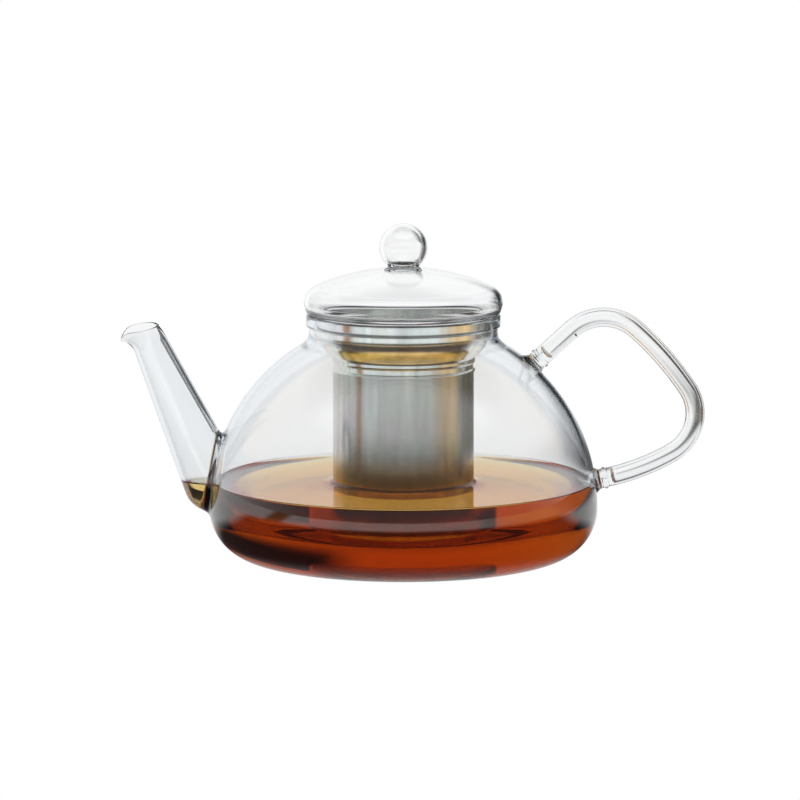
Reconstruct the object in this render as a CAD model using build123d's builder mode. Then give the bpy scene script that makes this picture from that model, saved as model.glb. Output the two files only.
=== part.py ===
from build123d import *
from math import atan2, cos, degrees, radians, sin, sqrt, tan
import os

# Glass teapot with a lift-out steel infuser, millimetres, +Z up.
# Origin: centre of the flat base. Spout towards -X, handle towards +X.

# ---- vessel ----
body_r = 85.0           # widest outer radius
corner_r = 22.0         # rounding between the flat base and the side
rim_z = 107.0           # top of the rim, where the infuser flange rests
neck_h = 11.5           # from the dome up to the rim
neck_r = 41.3           # outer radius of the neck
rim_bulge = 1.1         # how far the thickened rim stands out from the neck
rim_round = 0.95        # rounding of its edges
rim_h = 5.0             # height of the thickened rim
wall = 2.0              # blown glass wall
shoulder_bend = 2.5

# ---- spout ----
spout_tilt = 24.1       # lean of the axis from the vertical
spout_root_in = 1.8     # centre of the rounded root, inside the widest radius
spout_root_z = 33.0
spout_tip_r = 6.8
spout_root_r = 13.2
spout_len = 76.7        # from that end to the centre of the rounded root
spout_wall = 1.8
mouth_drop = 8.0        # where the flare of the mouth starts, along the axis
mouth_shift = (-1.0, -2.6)   # centre of the rim, from the upper end of the axis
mouth_tilt = 18.0       # slope of the rim, lower on the pouring side
mouth_half = (9.4, 7.6) # half width and half depth of the rim
lip_round = 0.7

# ---- handle: a bent glass tube, straight then four tangent arcs ----
tube_r = 4.2
tube_wall = 1.5
grip_gap = 4.6          # from the dome to each end of the tube
grip_below_neck = 19.1  # along the dome, from the neck down to the upper end
grip_above_corner = 12.3     # along the dome, from the widest radius up to the lower end
grip_heading = 43.0
grip_rise = 18.0
grip_arcs = ((21.0, 84.0), (134.0, 15.0), (20.0, 94.0), (101.0, 17.6))   # radius, turn
foot_r = 6.4            # widest radius of each fused foot
foot_flare = 4.2        # from the tube end to the widest radius
foot_ring = 2.1         # height of the ring round the tube end
foot_bead = 0.7         # how far that ring stands out
foot_lean = 0.3         # slope of the flare at its foot
foot_reach = 9.0        # depth of a foot before it is trimmed to the vessel

# ---- infuser: steel sheet ----
sheet = 0.5
flange_in = 0.8         # from the rim's edge in to the flange's edge
collar_gap = 1.5        # between the collar and the inside of the neck
collar_len = 11.6       # from the rim down to the cone
cone_in = 7.0           # how far the cone narrows
cone_h = 6.6
sleeve_len = 6.3        # plain sleeve below the cone
basket_z = 14.5         # underside of the infuser
pan_h = 4.0             # height of the pressed base pan
pan_corner = 1.6
bend = 1.0              # inside radius of the sheet bends

# ---- lid ----
lid_overhang = 1.1      # how far the widest radius stands out from the vessel's rim
seat_gap = 0.1          # between the flange and the lid's lower ring
lid_edge_h = 4.3        # from the lower ring up to the widest point
lid_rise = 15.5         # from the widest point up to the apex
lid_bend = 8.0          # rounding at the widest point, tangent to the crown
lid_edge_in = 1.3       # from the widest radius in to the lower edge
ring_h = 2.0            # thickness of the turned-in lower ring
plug_gap = 0.8          # between the plug and the inside of the steel collar
plug_depth = 8.4        # plug below the rim
plug_round = 0.9

# ---- knob ----
knob_r = 10.5
knob_rise = 19.4        # from the lid's apex to the top of the ball
knob_wall = 1.7         # the ball is blown, with a sealed bubble inside
stem_r = 6.9            # where the ball meets the stem
stem_foot_r = 7.8       # flare where the stem meets the lid
stem_sink = 0.6         # how far the flare is drawn below the lid face before trimming

# ---- derived ----
shoulder_z = rim_z - neck_h
rim_r = neck_r + rim_bulge
flange_r = rim_r - flange_in
lid_r = rim_r + lid_overhang
lid_edge_r = lid_r - lid_edge_in
neck_bore = neck_r - wall
dome_r = ((body_r - neck_r) ** 2 + (shoulder_z - corner_r) ** 2) / (2 * (body_r - neck_r))
dome_x = body_r - dome_r
dome_end = degrees(atan2(shoulder_z - corner_r, neck_r - dome_x))
inner_shoulder_z = corner_r + sqrt((dome_r - wall) ** 2 - (neck_bore - dome_x) ** 2)
collar_r = neck_bore - collar_gap
basket_r = collar_r - cone_in
collar_z = rim_z - collar_len
cone_z = collar_z - cone_h
sleeve_z = cone_z - sleeve_len
pan_z = basket_z + pan_h
flange_top = rim_z + sheet
plug_r = collar_r - sheet - plug_gap
lid_z = flange_top + seat_gap
lid_wide_z = lid_z + lid_edge_h
apex_z = lid_wide_z + lid_rise
knob_z = apex_z + knob_rise - knob_r
crown_r = ((lid_r - lid_bend) ** 2 + lid_rise**2 - lid_bend**2) / (2 * (lid_rise - lid_bend))
crown_z = apex_z - crown_r
bend_angle = degrees(atan2(lid_wide_z - crown_z, lid_r - lid_bend))

# across the spout, and along it from the tip towards the root
across = (cos(radians(spout_tilt)), 0, sin(radians(spout_tilt)))
along = (sin(radians(spout_tilt)), 0, -cos(radians(spout_tilt)))
spout_origin = (
    spout_root_in - body_r - along[0] * spout_len, 0, spout_root_z - along[2] * spout_len
)
spout_side = Plane(origin=spout_origin, x_dir=across, z_dir=(0, 1, 0))
spout_axis = Axis(spout_origin, along)
spout_slope = (spout_root_r - spout_tip_r) / spout_len
mouth_r = spout_tip_r + spout_slope * mouth_drop
mouth_base = Plane(
    origin=[spout_origin[i] + along[i] * mouth_drop for i in range(3)],
    x_dir=across,
    z_dir=[-a for a in along],
)
mouth_rim = Plane(
    origin=(spout_origin[0] + mouth_shift[0], 0, spout_origin[2] + mouth_shift[1]),
    x_dir=(cos(radians(mouth_tilt)), 0, sin(radians(mouth_tilt))),
    z_dir=(-sin(radians(mouth_tilt)), 0, cos(radians(mouth_tilt))),
)

# half section of everything inside the vessel's outer face, below the neck
with BuildLine() as vessel_outline:
    base = Line((0, 0), (body_r - corner_r, 0))
    corner = TangentArc(base @ 1, (body_r, corner_r), tangent=(1, 0))
    dome = TangentArc(corner @ 1, (neck_r, shoulder_z), tangent=(0, 1))
    Polyline(dome @ 1, (0, shoulder_z), (0, 0))

# half sections of the tapered spout with its rounded root, outside and bore
with BuildLine() as spout_outline:
    top = Line((0, mouth_drop), (mouth_r, mouth_drop))
    side = Line(top @ 1, (spout_root_r, spout_len))
    root = TangentArc(side @ 1, (0, spout_len + spout_root_r), tangent=side % 1)
    Line(root @ 1, (0, mouth_drop))

with BuildLine() as bore_outline:
    top = Line((0, mouth_drop), (mouth_r - spout_wall, mouth_drop))
    side = Line(top @ 1, (spout_root_r - spout_wall, spout_len))
    root = TangentArc(side @ 1, (0, spout_len + spout_root_r - spout_wall), tangent=side % 1)
    Line(root @ 1, (0, mouth_drop))


# ================= vessel =================
with BuildPart() as vessel:
    with BuildSketch(Plane.XZ):
        add(vessel_outline.line)
        make_face()
    revolve(axis=Axis.Z)
    with BuildSketch(Plane.XY.offset(shoulder_z)):
        Circle(neck_r)
    extrude(amount=rim_z - shoulder_z)
    # hollow inside
    with BuildSketch(Plane.XZ):
        with BuildLine():
            inner = TangentArc(
                (body_r - wall, corner_r), (neck_bore, inner_shoulder_z), tangent=(0, 1)
            )
            Polyline(inner @ 1, (neck_bore, rim_z), (0, rim_z), (0, wall), (body_r - corner_r, wall))
            TangentArc((body_r - corner_r, wall), inner @ 0, tangent=(1, 0))
        make_face()
    revolve(axis=Axis.Z, mode=Mode.SUBTRACT)
    # soft bend where the dome turns up into the neck, outside and inside
    bends = vessel.edges().filter_by(GeomType.CIRCLE).filter_by(
        lambda e: min(abs(e.center().Z - z) for z in (shoulder_z, inner_shoulder_z)) < 0.01
    )
    fillet(bends, shoulder_bend)
    # thickened rim
    with BuildSketch(Plane.XY.offset(rim_z - rim_h)):
        Circle(rim_r)
        Circle(neck_bore, mode=Mode.SUBTRACT)
    extrude(amount=rim_h)
    rim_lines = vessel.edges().filter_by(GeomType.CIRCLE).filter_by(
        lambda e: abs(e.radius - rim_r) < 0.01
    )
    fillet(rim_lines, rim_round)
    # opening into the spout
    with BuildSketch(spout_side):
        add(bore_outline.line)
        make_face()
    revolve(axis=spout_axis, mode=Mode.SUBTRACT)

# ================= spout =================
with BuildPart() as spout:
    with BuildSketch(spout_side):
        add(spout_outline.line)
        make_face()
    revolve(axis=spout_axis)
    with BuildSketch(mouth_base):
        Circle(mouth_r)
    with BuildSketch(mouth_rim):
        Ellipse(*mouth_half)
    loft()
    with BuildSketch(Plane.YZ):
        add(vessel_outline.line)
        make_face()
    revolve(axis=Axis.Z, mode=Mode.SUBTRACT)
    # bore, right through
    with BuildSketch(spout_side):
        add(bore_outline.line)
        make_face()
    revolve(axis=spout_axis, mode=Mode.SUBTRACT)
    with BuildSketch(mouth_base):
        Circle(mouth_r - spout_wall)
    with BuildSketch(mouth_rim):
        Ellipse(*[half - spout_wall for half in mouth_half])
    loft(mode=Mode.SUBTRACT)
    rim_edges = spout.faces().sort_by(Axis.Z)[-1].edges()
    fillet(rim_edges, lip_round)

# ================= handle =================
# the bend as it is drawn, which is then sized and turned to span its two seats on the dome
with BuildLine(Plane.XZ) as bend_line:
    piece = PolarLine((0, 0), grip_rise, grip_heading)
    for radius, turn in grip_arcs:
        piece = JernArc(piece @ 1, piece % 1, radius, -turn)
upper_seat, lower_seat = [
    Vector(
        dome_x + (dome_r + grip_gap) * cos(radians(a)), 0, corner_r + (dome_r + grip_gap) * sin(radians(a))
    )
    for a in (dome_end - degrees(grip_below_neck / dome_r), degrees(grip_above_corner / dome_r))
]
drawn_span, span = piece @ 1, lower_seat - upper_seat
grip_scale = span.length / drawn_span.length
grip_turn = degrees(atan2(span.Z, span.X) - atan2(drawn_span.Z, drawn_span.X))

with BuildPart() as handle:
    with BuildLine(Plane.XZ) as grip:
        rise = PolarLine(
            (upper_seat.X, upper_seat.Z), grip_rise * grip_scale, grip_heading + grip_turn
        )
        piece = rise
        for radius, turn in grip_arcs:
            piece = JernArc(piece @ 1, piece % 1, radius * grip_scale, -turn)
    with BuildSketch(Plane(rise @ 0, x_dir=(0, 1, 0), z_dir=rise % 0)):
        Circle(tube_r)
        Circle(tube_r - tube_wall, mode=Mode.SUBTRACT)
    sweep(path=grip.line)

upper_end, upper_out = rise @ 0, rise % 0
lower_end, lower_out = piece @ 1, -(piece % 1)

# half section of a fused foot: a ring round the tube end, then a flare
with BuildLine() as foot_outline:
    end = Line((0, 0), (tube_r, 0))
    ring = ThreePointArc(
        end @ 1, (tube_r + foot_bead, foot_ring / 2), (tube_r, foot_ring)
    )
    flare = TangentArc((foot_r, foot_flare), ring @ 1, tangent=(-1, -foot_lean))
    Polyline(flare @ 0, (foot_r, foot_reach), (0, foot_reach), (0, 0))

with BuildPart() as handle_upper_foot:
    with BuildSketch(Plane(upper_end, Vector(0, 1, 0).cross(upper_out), (0, 1, 0))):
        add(foot_outline.line)
        make_face()
    revolve(axis=Axis(upper_end, upper_out))
    with BuildSketch(Plane.YZ):
        add(vessel_outline.line)
        make_face()
    revolve(axis=Axis.Z, mode=Mode.SUBTRACT)

with BuildPart() as handle_lower_foot:
    with BuildSketch(Plane(lower_end, Vector(0, 1, 0).cross(lower_out), (0, 1, 0))):
        add(foot_outline.line)
        make_face()
    revolve(axis=Axis(lower_end, lower_out))
    with BuildSketch(Plane.YZ):
        add(vessel_outline.line)
        make_face()
    revolve(axis=Axis.Z, mode=Mode.SUBTRACT)

# ================= infuser =================
turn_in = degrees(atan2(collar_r - basket_r, cone_h))
bevel = sheet * tan(radians(turn_in / 2))     # keeps the sheet even round the cone

with BuildPart() as infuser_collar:
    with BuildSketch(Plane.XZ):
        with BuildLine():
            Polyline(
                (flange_r, rim_z),
                (collar_r, rim_z),
                (collar_r, collar_z),
                (basket_r, cone_z),
                (basket_r, sleeve_z),
                (basket_r - sheet, sleeve_z),
                (basket_r - sheet, cone_z + bevel),
                (collar_r - sheet, collar_z + bevel),
                (collar_r - sheet, flange_top),
                (flange_r, flange_top),
                close=True,
            )
        make_face()
    revolve(axis=Axis.Z)
    circles = infuser_collar.edges().filter_by(GeomType.CIRCLE)
    tight = circles.filter_by(
        lambda e: abs(e.center().Z - collar_z - bevel) < 0.01 or abs(e.center().Z - cone_z) < 0.01
    )
    fillet(tight, bend)
    circles = infuser_collar.edges().filter_by(GeomType.CIRCLE)
    wide = circles.filter_by(
        lambda e: abs(e.center().Z - collar_z) < 0.01 or abs(e.center().Z - cone_z - bevel) < 0.01
    )
    fillet(wide, bend + sheet)

with BuildPart() as infuser_wall:
    with BuildSketch(Plane.XY.offset(pan_z)):
        Circle(basket_r)
        Circle(basket_r - sheet, mode=Mode.SUBTRACT)
    extrude(amount=sleeve_z - pan_z)

with BuildPart() as infuser_base:
    with BuildSketch(Plane.XY.offset(basket_z)):
        Circle(basket_r)
    extrude(amount=pan_h)
    fillet(infuser_base.faces().sort_by(Axis.Z)[0].edges(), pan_corner + sheet)
    with BuildSketch(Plane.XZ):
        with BuildLine():
            Polyline(
                (0, pan_z),
                (basket_r - sheet, pan_z),
                (basket_r - sheet, basket_z + sheet + pan_corner),
            )
            pan_arc = TangentArc(
                (basket_r - sheet, basket_z + sheet + pan_corner),
                (basket_r - sheet - pan_corner, basket_z + sheet),
                tangent=(0, -1),
            )
            Polyline(pan_arc @ 1, (0, basket_z + sheet), (0, pan_z))
        make_face()
    revolve(axis=Axis.Z, mode=Mode.SUBTRACT)

# ================= lid =================
with BuildPart() as lid_dome:
    with BuildSketch(Plane.XZ):
        with BuildLine():
            CenterArc((lid_r - lid_bend, lid_wide_z), lid_bend, 0, bend_angle)
            crown = CenterArc((0, crown_z), crown_r, bend_angle, 90 - bend_angle)
            edge = TangentArc((lid_r, lid_wide_z), (lid_edge_r, lid_z), tangent=(0, -1))
            Polyline(
                edge @ 1,
                (plug_r, lid_z),
                (plug_r, lid_z + ring_h),
                (lid_r - wall, lid_z + ring_h),
                (lid_r - wall, lid_wide_z),
            )
            CenterArc((lid_r - lid_bend, lid_wide_z), lid_bend - wall, 0, bend_angle)
            under = CenterArc((0, crown_z), crown_r - wall, bend_angle, 90 - bend_angle)
            Line(under @ 1, crown @ 1)
        make_face()
    revolve(axis=Axis.Z)

with BuildPart() as lid_plug:
    with BuildSketch(Plane.XY.offset(rim_z - plug_depth)):
        Circle(plug_r)
        Circle(plug_r - wall, mode=Mode.SUBTRACT)
    extrude(amount=lid_z + ring_h - rim_z + plug_depth)
    fillet(lid_plug.faces().sort_by(Axis.Z)[0].edges(), plug_round)

# half section of everything below the crown of the lid
with BuildLine() as crown_outline:
    crown = CenterArc((0, crown_z), crown_r, bend_angle, 90 - bend_angle)
    Polyline(crown @ 1, (0, lid_wide_z), (lid_r - lid_bend, lid_wide_z), crown @ 0)

with BuildPart() as lid_knob:
    with BuildSketch(Plane.XZ):
        with BuildLine():
            waist_angle = degrees(atan2(-sqrt(knob_r**2 - stem_r**2), stem_r))
            ball = CenterArc((0, knob_z), knob_r, waist_angle, 90 - waist_angle)
            stem = Line(ball @ 0, (stem_foot_r, apex_z - stem_sink))
            Polyline(stem @ 1, (0, apex_z - stem_foot_r), ball @ 1)
        make_face()
    revolve(axis=Axis.Z)
    with Locations((0, 0, knob_z)):
        Sphere(knob_r - knob_wall, mode=Mode.SUBTRACT)
    with BuildSketch(Plane.XZ):
        add(crown_outline.line)
        make_face()
    revolve(axis=Axis.Z, mode=Mode.SUBTRACT)

os.makedirs("parts", exist_ok=True)
vessel.part.label = "vessel"
export_step(vessel.part, "parts/vessel.step")
spout.part.label = "spout"
export_step(spout.part, "parts/spout.step")
handle.part.label = "handle"
export_step(handle.part, "parts/handle.step")
handle_upper_foot.part.label = "handle_upper_foot"
export_step(handle_upper_foot.part, "parts/handle_upper_foot.step")
handle_lower_foot.part.label = "handle_lower_foot"
export_step(handle_lower_foot.part, "parts/handle_lower_foot.step")
infuser_collar.part.label = "infuser_collar"
export_step(infuser_collar.part, "parts/infuser_collar.step")
infuser_wall.part.label = "infuser_wall"
export_step(infuser_wall.part, "parts/infuser_wall.step")
infuser_base.part.label = "infuser_base"
export_step(infuser_base.part, "parts/infuser_base.step")
lid_dome.part.label = "lid_dome"
export_step(lid_dome.part, "parts/lid_dome.step")
lid_plug.part.label = "lid_plug"
export_step(lid_plug.part, "parts/lid_plug.step")
lid_knob.part.label = "lid_knob"
export_step(lid_knob.part, "parts/lid_knob.step")
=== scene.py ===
import math

import bmesh
import bpy
import numpy as np
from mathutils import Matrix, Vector


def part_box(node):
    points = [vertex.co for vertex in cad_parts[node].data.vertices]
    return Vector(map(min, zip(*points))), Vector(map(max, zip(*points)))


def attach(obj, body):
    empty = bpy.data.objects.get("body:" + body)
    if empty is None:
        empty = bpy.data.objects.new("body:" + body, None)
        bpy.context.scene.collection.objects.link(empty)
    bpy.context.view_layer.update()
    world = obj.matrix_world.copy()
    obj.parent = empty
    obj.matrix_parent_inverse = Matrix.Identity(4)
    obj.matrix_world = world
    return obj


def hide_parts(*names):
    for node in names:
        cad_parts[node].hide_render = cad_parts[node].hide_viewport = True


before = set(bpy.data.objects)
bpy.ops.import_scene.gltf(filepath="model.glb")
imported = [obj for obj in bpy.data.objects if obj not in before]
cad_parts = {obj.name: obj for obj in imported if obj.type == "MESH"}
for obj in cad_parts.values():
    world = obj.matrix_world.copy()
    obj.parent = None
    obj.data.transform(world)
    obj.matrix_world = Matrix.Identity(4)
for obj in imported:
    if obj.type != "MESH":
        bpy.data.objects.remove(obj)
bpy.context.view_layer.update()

bl_info = {
    "name": "Glass Teapot with Steel Infuser",
    "version": (1, 0, 0),
    "blender": (4, 5, 0),
    "location": "3D View > Sidebar > Teapot",
    "description": "Builds a blown glass teapot, its steel infuser, its tea and a small studio",
    "category": "Add Mesh",
}

MM = 0.001


def low(node):
    """Lowest corner of a CAD node."""
    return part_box(node)[0]


def high(node):
    """Highest corner of a CAD node."""
    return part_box(node)[1]


BODY_R, RIM_Z = high("vessel").y, high("vessel").z
SPOUT_REACH = low("spout").x
FLANGE_R, FLANGE_TOP = high("infuser_collar").x, high("infuser_collar").z
SLEEVE_Z = low("infuser_collar").z
BASKET_R, PAN_Z = high("infuser_wall").x, low("infuser_wall").z
BASKET_Z = low("infuser_base").z
LID_R, LID_Z, APEX_Z = high("lid_dome").x, low("lid_dome").z, high("lid_dome").z
PLUG_R, PLUG_Z = high("lid_plug").x, low("lid_plug").z
KNOB_R, KNOB_TOP = high("lid_knob").x, high("lid_knob").z

# the spout's mouth: its rim is nearly level, cut by hand so that one side is a little lower
MOUTH_SLOPE, MOUTH_LIST = math.radians(9.5), math.radians(8)
MOUTH_HALF = (8.5 * MM, 7.6 * MM)
MOUTH_Z = 101.2 * MM
MOUTH_ROOM = 0.15 * MM
MOUTH_LENGTH = 10 * MM
# the pouring side rolls over and down, and the rim is thinner than the wall below it
LIP_DROP, LIP_SHARPNESS = 3.4 * MM, 5
LIP_WALL = 0.62
LIP_ANGLES = np.radians([25, 50, 72, 90])
SPOUT_SIDES = 128

# the handle's middle line: where it leaves the dome, in mm, and each bend's radius in mm and turn in degrees
HANDLE_START = (59.94, 88.0)
HANDLE_HEADING = math.radians(42.72)
HANDLE_STRAIGHT = 18 * MM
HANDLE_BENDS = ((21.0, 84.0), (134.0, 15.0), (20.0, 94.0), (101.0, 17.6))
# keeps the swept tube within the CAD tube's box
HANDLE_SIZE = 0.9965
# the gap that a foot bridges, and how far the tube's line runs on into the dome
FOOT_GAP = 4.6 * MM
UPPER_REACH, LOWER_REACH = FOOT_GAP + 1.0 * MM, FOOT_GAP + 0.9 * MM
FOOT_LENGTH, FOOT_FLARE = 5.6 * MM, 2.2 * MM
BORE_START, BORE_END, BORE_ROUND = 7.6 * MM, 7.4 * MM, 2.6 * MM
LINE_STEP = 0.5 * MM

# gaps from a wall, in mm, at which the tea's surface has a ring of points
TEA_RINGS_IN = (0.35, 0.8, 1.4, 2.2, 3.4, 5.5, 9.0)
TEA_RINGS_TO_BASKET = (14, 9, 5.5, 3.4, 2.2, 1.4, 0.8, 0.4, 0.1)
TEA_RINGS_IN_BASKET = (0.25, 0.9, 1.4, 2.2, 3.4, 5.5, 10, 18, 25)
BASKET_WALL_HALF = 0.25 * MM
MENISCUS_REACH = 1.1 * MM

WHITE = (1.0, 1.0, 1.0)
DARK = (0.03, 0.035, 0.04)
CAMERA_SIDE = (0.20, 0.21, 0.22)
# the room by compass direction, in degrees: 0 is straight behind the pot, 90 the handle's side
ROOM = (
    (-180, CAMERA_SIDE), (-120, (0.24, 0.25, 0.26)), (-90, (0.50, 0.52, 0.53)),
    (-55, (0.95, 0.95, 0.95)), (-40, WHITE), (20, WHITE),
    (60, (0.80, 0.82, 0.83)), (100, (0.34, 0.34, 0.33)), (180, CAMERA_SIDE),
)
# a dark flag low behind the pot
FLAG = ((-180, WHITE), (6, WHITE), (13, DARK), (50, DARK), (66, WHITE), (180, WHITE))
FLAG_LOW, FLAG_HIGH = math.radians(10), math.radians(22)
CEILING_LOW, CEILING_HIGH = math.radians(38), math.radians(56)
CEILING_FRONT, CEILING_BACK = (1.2, 1.22, 1.25), (0.12, 0.13, 0.135)
# the far floor's painted light by the same directions, with a narrow brown streak and a tan one
FAR_FLOOR = (
    (-180, (0.90, 0.95, 0.92)), (-128, (0.95, 0.99, 0.97)), (-113, (0.98, 1.0, 1.0)),
    (-109, (0.40, 0.22, 0.11)), (-101, (0.40, 0.22, 0.11)), (-97, WHITE), (-40, WHITE), (12, WHITE),
    (22, (0.12, 0.12, 0.12)), (66, (0.12, 0.12, 0.11)), (80, (0.34, 0.33, 0.31)),
    (90, (0.92, 0.64, 0.33)), (114, (0.92, 0.67, 0.37)), (125, (0.80, 0.72, 0.58)),
    (138, (0.88, 0.93, 0.90)), (180, (0.90, 0.95, 0.92)),
)
NEAR_FLOOR = (0.95, 0.95, 0.95)
FAR_START, FAR_END = 0.24, 0.38
# a painted shadow darkens the floor close in front of the pot, but not under it
SHADOW_OUTER, SHADOW_FULL = 0.41, 0.30
SHADOW_BACK, SHADOW_FRONT = 0.07, 0.0
POT_INNER, POT_OUTER = 0.060, 0.082


# ---------------------------------------------------------------- settings


def length(name, description, default):
    return bpy.props.FloatProperty(
        name=name, description=description, default=default, unit="LENGTH", subtype="DISTANCE", precision=5
    )


def angle(name, description, degrees):
    return bpy.props.FloatProperty(
        name=name, description=description, default=math.radians(degrees), subtype="ANGLE"
    )


def point(name, description, default):
    return bpy.props.FloatVectorProperty(
        name=name, description=description, default=default, size=3, unit="LENGTH", subtype="XYZ"
    )


def colour(name, description, default):
    return bpy.props.FloatVectorProperty(
        name=name, description=description, default=default, size=len(default), subtype="COLOR", min=0, max=1
    )


def number(name, description, default):
    return bpy.props.FloatProperty(name=name, description=description, default=default)


def count(name, description, default):
    return bpy.props.IntProperty(name=name, description=description, default=default, min=3)


class TeapotVesselSettings(bpy.types.PropertyGroup):
    """Sizes of the blown glass body and its spout, and the glass itself."""

    wall: length("Wall", "Thickness of the blown wall", 2.0 * MM)
    corner: length("Corner", "Radius between the base and the side", 22 * MM)
    shoulder: length("Shoulder Height", "Where the dome meets the neck", 95.5 * MM)
    neck: length("Neck Radius", "Outer radius of the neck", 41.3 * MM)
    rim: length("Rim Radius", "Outer radius of the thickened rim", 42.4 * MM)
    rim_height: length("Rim Height", "Height of the thickened rim", 5 * MM)
    push_up: length("Push-up", "How far the middle of the base is raised", 0.8 * MM)
    spout_wall: length("Spout Wall", "Thickness of the spout's wall", 1.8 * MM)
    spout_tilt: angle("Spout Lean", "Lean of the spout's axis", 24.1)
    spout_tip: point("Spout Tip", "Upper end of the spout's axis", (-114.52 * MM, 0, 103.01 * MM))
    spout_tip_radius: length("Spout Tip Radius", "Radius at the upper end", 6.8 * MM)
    spout_root_radius: length("Spout Root Radius", "Radius at the rounded root", 13.2 * MM)
    spout_length: length("Spout Length", "From the tip to the root's centre", 76.7 * MM)
    seam: length("Seam Blend", "Width of the melted seam round the spout", 3.2 * MM)
    segments: count("Segments", "Steps round the body", 320)
    glass: colour("Glass", "Colour that deep glass takes", (0.2, 0.42, 0.60))
    index: number("Glass Index", "How strongly the glass bends light", 1.474)


class TeapotHandleSettings(bpy.types.PropertyGroup):
    """Sizes of the bent glass tube and its feet."""

    tube: length("Tube Radius", "Outer radius of the tube", 4.2 * MM)
    wall: length("Tube Wall", "Wall of the tube", 1.5 * MM)
    foot: length("Foot Radius", "Radius of a fused foot on the body", 6.4 * MM)
    bead: length("Bead", "How far the ring round a tube end stands out", 0.7 * MM)
    sides: count("Sides", "Steps round the tube", 120)


class TeapotLidSettings(bpy.types.PropertyGroup):
    """Sizes of the glass lid."""

    wall: length("Wall", "Thickness of the lid's glass", 2.0 * MM)
    bubble_wall: length("Knob Wall", "Glass round the bubble in the knob", 1.7 * MM)
    edge_height: length("Edge Height", "From the lower ring to the widest point", 4.3 * MM)
    edge_bend: length("Edge Bend", "Rounding at the widest point", 8 * MM)
    edge: length("Edge Radius", "Radius of the lower edge", 42.2 * MM)
    stem: length("Stem Radius", "Where the ball meets its stem", 6.9 * MM)
    foot: length("Stem Foot", "Radius of the stem on the lid", 7.8 * MM)


class TeapotInfuserSettings(bpy.types.PropertyGroup):
    """Sizes and finish of the steel infuser."""

    sheet: length("Sheet", "Thickness of the steel sheet", 0.5 * MM)
    collar: length("Collar Radius", "Outer radius of the collar in the neck", 37.8 * MM)
    collar_depth: length("Collar Depth", "From the rim to the cone", 11.6 * MM)
    cone: length("Cone Height", "Height of the cone", 6.6 * MM)
    groove: length("Groove", "Depth of the groove in the sleeve", 0.8 * MM)
    pitch: length("Hole Pitch", "Distance between the fine holes", 0.62 * MM)
    steel: colour("Steel", "Colour of the steel", (0.72, 0.72, 0.69))
    polished: colour("Polished Steel", "Colour of the plain collar", (0.93, 0.93, 0.90))
    # painted shade: the fine holes are painted this dark colour for the shaded inside seen through them
    hole: colour("Holes", "Colour inside the fine holes", (0.10, 0.098, 0.09))
    # painted light: an amber glow of the tea painted into the steel, full low on the wall and fading out upwards
    painted_tea_glow: colour("Painted Tea Glow", "Colour of the amber light of the tea, painted onto the lower wall", (0.80, 0.42, 0.07))
    painted_glow_top: length("Painted Glow Height", "Where that tint fades out", 51 * MM)
    painted_glow_fade: length("Painted Glow Fade", "Height over which that tint fades", 16 * MM)


class TeapotTeaSettings(bpy.types.PropertyGroup):
    """The tea in the pot."""

    level: length("Level", "Height of the tea", 33.2 * MM)
    meniscus: length("Meniscus", "Rise of the surface at a wall", 1.3 * MM)
    overlap: length("Overlap", "How far the tea reaches into the glass", 0.15 * MM)
    colour: colour("Tea", "Colour that deep tea takes", (0.93, 0.74, 0.14))
    strength: number("Strength", "How fast the tea darkens with depth", 80.0)
    index: number("Tea Index", "How strongly the tea bends light", 1.333)


class TeapotStageSettings(bpy.types.PropertyGroup):
    """Camera, floor and light."""

    distance: length("Camera Distance", "From the aim point to the camera", 2300 * MM)
    elevation: angle("Camera Elevation", "Angle above the horizon", 8.25)
    turn: angle("Camera Turn", "Angle round the pot", 0)
    aim: point("Aim", "Point at the centre of the view", (-1.5 * MM, 0, 69.2 * MM))
    lens: number("Lens", "Focal length in millimetres", 236.8)
    floor: length("Floor Radius", "Radius of the floor", 3000 * MM)


# ---------------------------------------------------------------- profiles


def arc(centre, radius, start, end, steps):
    """Points of a circle's arc in the (r, z) plane, ends included, angles in degrees."""
    angles = np.radians(np.linspace(start, end, steps + 1))
    return [(centre[0] + radius * math.cos(a), centre[1] + radius * math.sin(a)) for a in angles]


def divided(a, b, steps):
    """Points from a to b, a left out."""
    return [(a[0] + (b[0] - a[0]) * i / steps, a[1] + (b[1] - a[1]) * i / steps) for i in range(1, steps + 1)]


def curved(a, b, c, shares):
    """Points at these shares of the curve that leaves a towards b and reaches c from b."""
    a, b, c = np.array(a), np.array(b), np.array(c)
    return [tuple((1 - t) ** 2 * a + 2 * t * (1 - t) * b + t * t * c) for t in shares]


def rounded(points, radii, steps=5):
    """A polyline with its corners turned into arcs. radii has one value per point, 0 for a sharp one."""
    out = []
    for i, (p, r) in enumerate(zip(points, radii)):
        if r <= 0 or i in (0, len(points) - 1):
            out.append(p)
            continue
        p = Vector(p)
        a, b = Vector(points[i - 1]) - p, Vector(points[i + 1]) - p
        half = a.angle(b) / 2
        reach = min(r / math.tan(half), a.length * 0.49, b.length * 0.49)
        r = reach * math.tan(half)
        centre = p + (a.normalized() + b.normalized()).normalized() * (r / math.sin(half))
        start, end = p + a.normalized() * reach - centre, p + b.normalized() * reach - centre
        turn = start.angle_signed(end)
        for k in range(steps + 1):
            t = -turn * k / steps
            out.append((
                centre.x + start.x * math.cos(t) - start.y * math.sin(t),
                centre.y + start.x * math.sin(t) + start.y * math.cos(t),
            ))
    return out


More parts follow.
